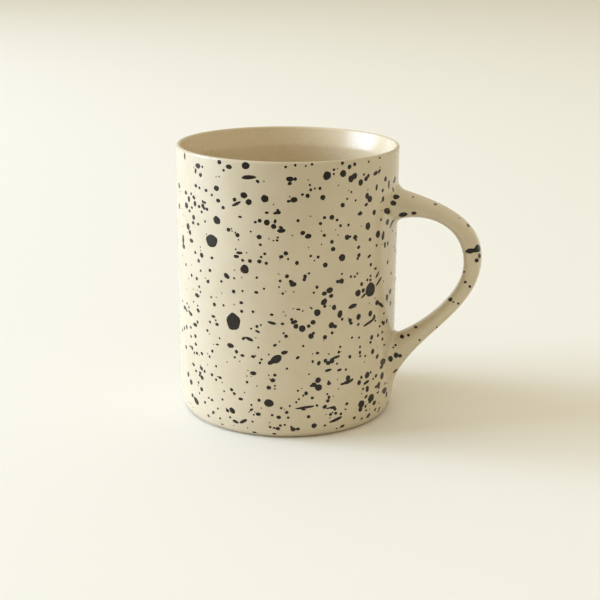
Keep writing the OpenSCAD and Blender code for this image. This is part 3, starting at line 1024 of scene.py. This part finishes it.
class MUG_OT_handle_splatter(bpy.types.Operator):
    """Flick black glaze on the handle"""

    bl_idname = "mug.handle_splatter"
    bl_label = "Handle splatter"

    def execute(self, context):
        c, s = context.scene.mug_cup, context.scene.mug_splatter
        surface = Surface()
        strap = Strap(c, context.scene.mug_handle)
        chance = random.Random(s.seed + 1)
        near = listed(HANDLE_DROPS)
        masters = {"big": model_drop("big_drop", 24, 4), "round": model_drop("round_drop", 16, 3)}
        drops = []
        for row, (u, turn, wide, tall, lean) in enumerate(near + self.far(s, chance)):
            point, along, across = self.frame(strap, u, math.radians(turn), c.skin)
            surface.reach = SHORT_REACH
            if row < len(near):
                surface.reach = LONG_REACH
                along, across = self.seen(context.scene.mug_studio)
            master = masters["big" if max(wide, tall) > 2 else "round"]
            drops.append(lay_drop(master, surface, (point, along, across),
                                  (wide * MM + s.spread, tall * MM + s.spread), lean, chance, s))
        join_drops(drops, "handle_splatter", context)
        for master in masters.values():
            bpy.data.objects.remove(master)
        return {"FINISHED"}

    def seen(self, s):
        """The directions right and up as the camera sees them."""
        turn, dip = s.camera_heading, s.camera_dip
        right = Vector((math.sin(turn), -math.cos(turn), 0))
        away = Vector((-math.cos(turn) * math.cos(dip), -math.sin(turn) * math.cos(dip),
                       math.sin(dip)))
        return right, away.cross(right)

    def frame(self, strap, u, turn, skin):
        """A point of the strap, the direction along it and the direction across it."""
        step = 0.004
        point = Vector(strap.points(u, np.array([turn]), skin)[0])
        after = strap.points(min(1, u + step), np.array([turn]), skin)[0]
        before = strap.points(max(0, u - step), np.array([turn]), skin)[0]
        left, right = strap.points(u, np.array([turn - 0.05, turn + 0.05]), skin)
        along = Vector(after - before).normalized()
        across = Vector(right - left)
        return point, along, (across - along * along.dot(across)).normalized()

    def far(self, s, chance):
        """Random drops on the handle's far side and its edges."""
        made = []
        for _ in range(s.handle_drops):
            size = min(3, 0.6 * math.exp(abs(chance.gauss(0, 0.6))))
            made.append((chance.uniform(0.02, 0.97), chance.uniform(5, 178), size,
                         size * chance.uniform(0.7, 1.1), chance.uniform(-40, 40)))
        return made


# ---------------------------------------------------------------- the CAD nodes that show


class MUG_OT_clay(bpy.types.Operator):
    """Give the clay, the slip and the glaze underneath their finishes"""

    bl_idname = "mug.clay"
    bl_label = "Clay and slip"

    def execute(self, context):
        colours = context.scene.mug_finish
        clay = bare_clay("fired_clay", colours.clay, tuple(0.8 * x for x in colours.clay))
        slip = bare_clay("fired_slip", colours.slip, tuple(0.8 * x for x in colours.slip))
        glaze = finish_named("glossy_cream_glaze", cream_glaze, colours)
        for names, material in (
            (("cup_body", "handle"), clay),
            (("upper_slip_joint", "lower_slip_joint"), slip),
            (("base_glaze",), glaze),
        ):
            for name in names:
                paint(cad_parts[name], material)
        return {"FINISHED"}


# ---------------------------------------------------------------- stage


WINDOW_AWAY = 2.6


class MUG_OT_stage(bpy.types.Operator):
    """Lay the floor, set the window light and aim the camera"""

    bl_idname = "mug.stage"
    bl_label = "Studio"

    def execute(self, context):
        s = context.scene.mug_studio
        deselect()
        bpy.ops.mesh.primitive_plane_add(size=9, location=(0, 0, 0))
        floor = start("studio_floor")
        bpy.ops.mesh.subdivide(number_cuts=8)
        bpy.ops.object.mode_set(mode="OBJECT")
        paint(floor, studio_floor(tuple(s.floor)))
        self.lamp(s)
        self.room(context, s)
        self.camera(context, s)
        return {"FINISHED"}

    def lamp(self, s):
        """A window of four panes on the left, the brightest low down, and a ceiling."""
        for number, turn, height, width, tall, power in (
            (1, -17.5, 0.7, 0.54, 1.1, 8),
            (2, -5, 0.7, 0.64, 1.1, 50),
            (3, 12.5, 0.7, 0.98, 1.1, 36),
            (4, 0, 1.9, 2.2, 1.3, 22),
        ):
            self.pane(f"pane_{number}", s, turn, height, (width, tall), power * s.window_power)
        self.area("ceiling", Vector((0, 0, 2.4)), Vector((0.001, 0, 0)), (5, 5),
                  s.ceiling_power, (1.0, 0.8, 0.78))

    def pane(self, name, s, turn, height, size, power):
        turn = s.window_turn + math.radians(turn)
        place = Vector((WINDOW_AWAY * math.cos(turn), WINDOW_AWAY * math.sin(turn), height))
        self.area(name, place, Vector((0, 0, 0.05)), size, power, (0.64, 0.78, 1.0))

    def area(self, name, place, aim, size, power, colour):
        bpy.ops.object.light_add(type="AREA", location=place)
        lamp = bpy.context.object
        lamp.name = name
        lamp.data.shape = "RECTANGLE"
        lamp.data.size, lamp.data.size_y = size
        lamp.data.energy = power
        lamp.data.color = colour
        lamp.rotation_euler = (aim - place).to_track_quat("-Z", "Y").to_euler()

    def room(self, context, s):
        world = bpy.data.worlds.new("room")
        world.use_nodes = True
        background = world.node_tree.nodes["Background"]
        background.inputs["Color"].default_value = (*s.fill, 1)
        background.inputs["Strength"].default_value = 1
        context.scene.world = world
        context.scene.view_settings.view_transform = "Standard"

    def camera(self, context, s):
        deselect()
        bpy.ops.object.camera_add(location=s.camera_place)
        camera = context.object
        camera.name = "camera"
        look = (Matrix.Rotation(s.camera_heading - math.pi / 2, 3, "Z")
                @ Matrix.Rotation(math.pi / 2 - s.camera_dip, 3, "X")
                @ Matrix.Rotation(s.camera_roll, 3, "Z"))
        camera.rotation_euler = look.to_euler()
        camera.data.lens = s.lens
        camera.data.sensor_width = 36
        camera.data.clip_start = 0.01
        context.scene.camera = camera


# ---------------------------------------------------------------- panel and registration


OPERATORS = (
    MUG_OT_stage,
    MUG_OT_clay,
    MUG_OT_cup_coat,
    MUG_OT_handle_coat,
    MUG_OT_cup_splatter,
    MUG_OT_handle_splatter,
)


class MUG_PT_panel(bpy.types.Panel):
    """Lists the mug's pieces and their settings."""

    bl_idname = "MUG_PT_panel"
    bl_label = "Splattered Mug"
    bl_space_type = "VIEW_3D"
    bl_region_type = "UI"
    bl_category = "Mug"

    def draw(self, context):
        for group, cls in GROUPS.items():
            box = self.layout.box()
            box.label(text=cls.__doc__)
            for name in cls.__annotations__:
                box.prop(getattr(context.scene, group), name)
        for operator in OPERATORS:
            self.layout.operator(operator.bl_idname)


def register():
    for cls in (*GROUPS.values(), *OPERATORS, MUG_PT_panel):
        bpy.utils.register_class(cls)
    for name, cls in GROUPS.items():
        setattr(bpy.types.Scene, name, PointerProperty(type=cls))


def unregister():
    for name in GROUPS:
        delattr(bpy.types.Scene, name)
    for cls in (MUG_PT_panel, *reversed(OPERATORS), *reversed(GROUPS.values())):
        bpy.utils.unregister_class(cls)


def main():
    register()
    for operator in OPERATORS:
        space, name = operator.bl_idname.split(".")
        if getattr(getattr(bpy.ops, space), name)() != {"FINISHED"}:
            raise RuntimeError(f"{operator.bl_idname} didn't finish")


if __name__ == "__main__":
    main()
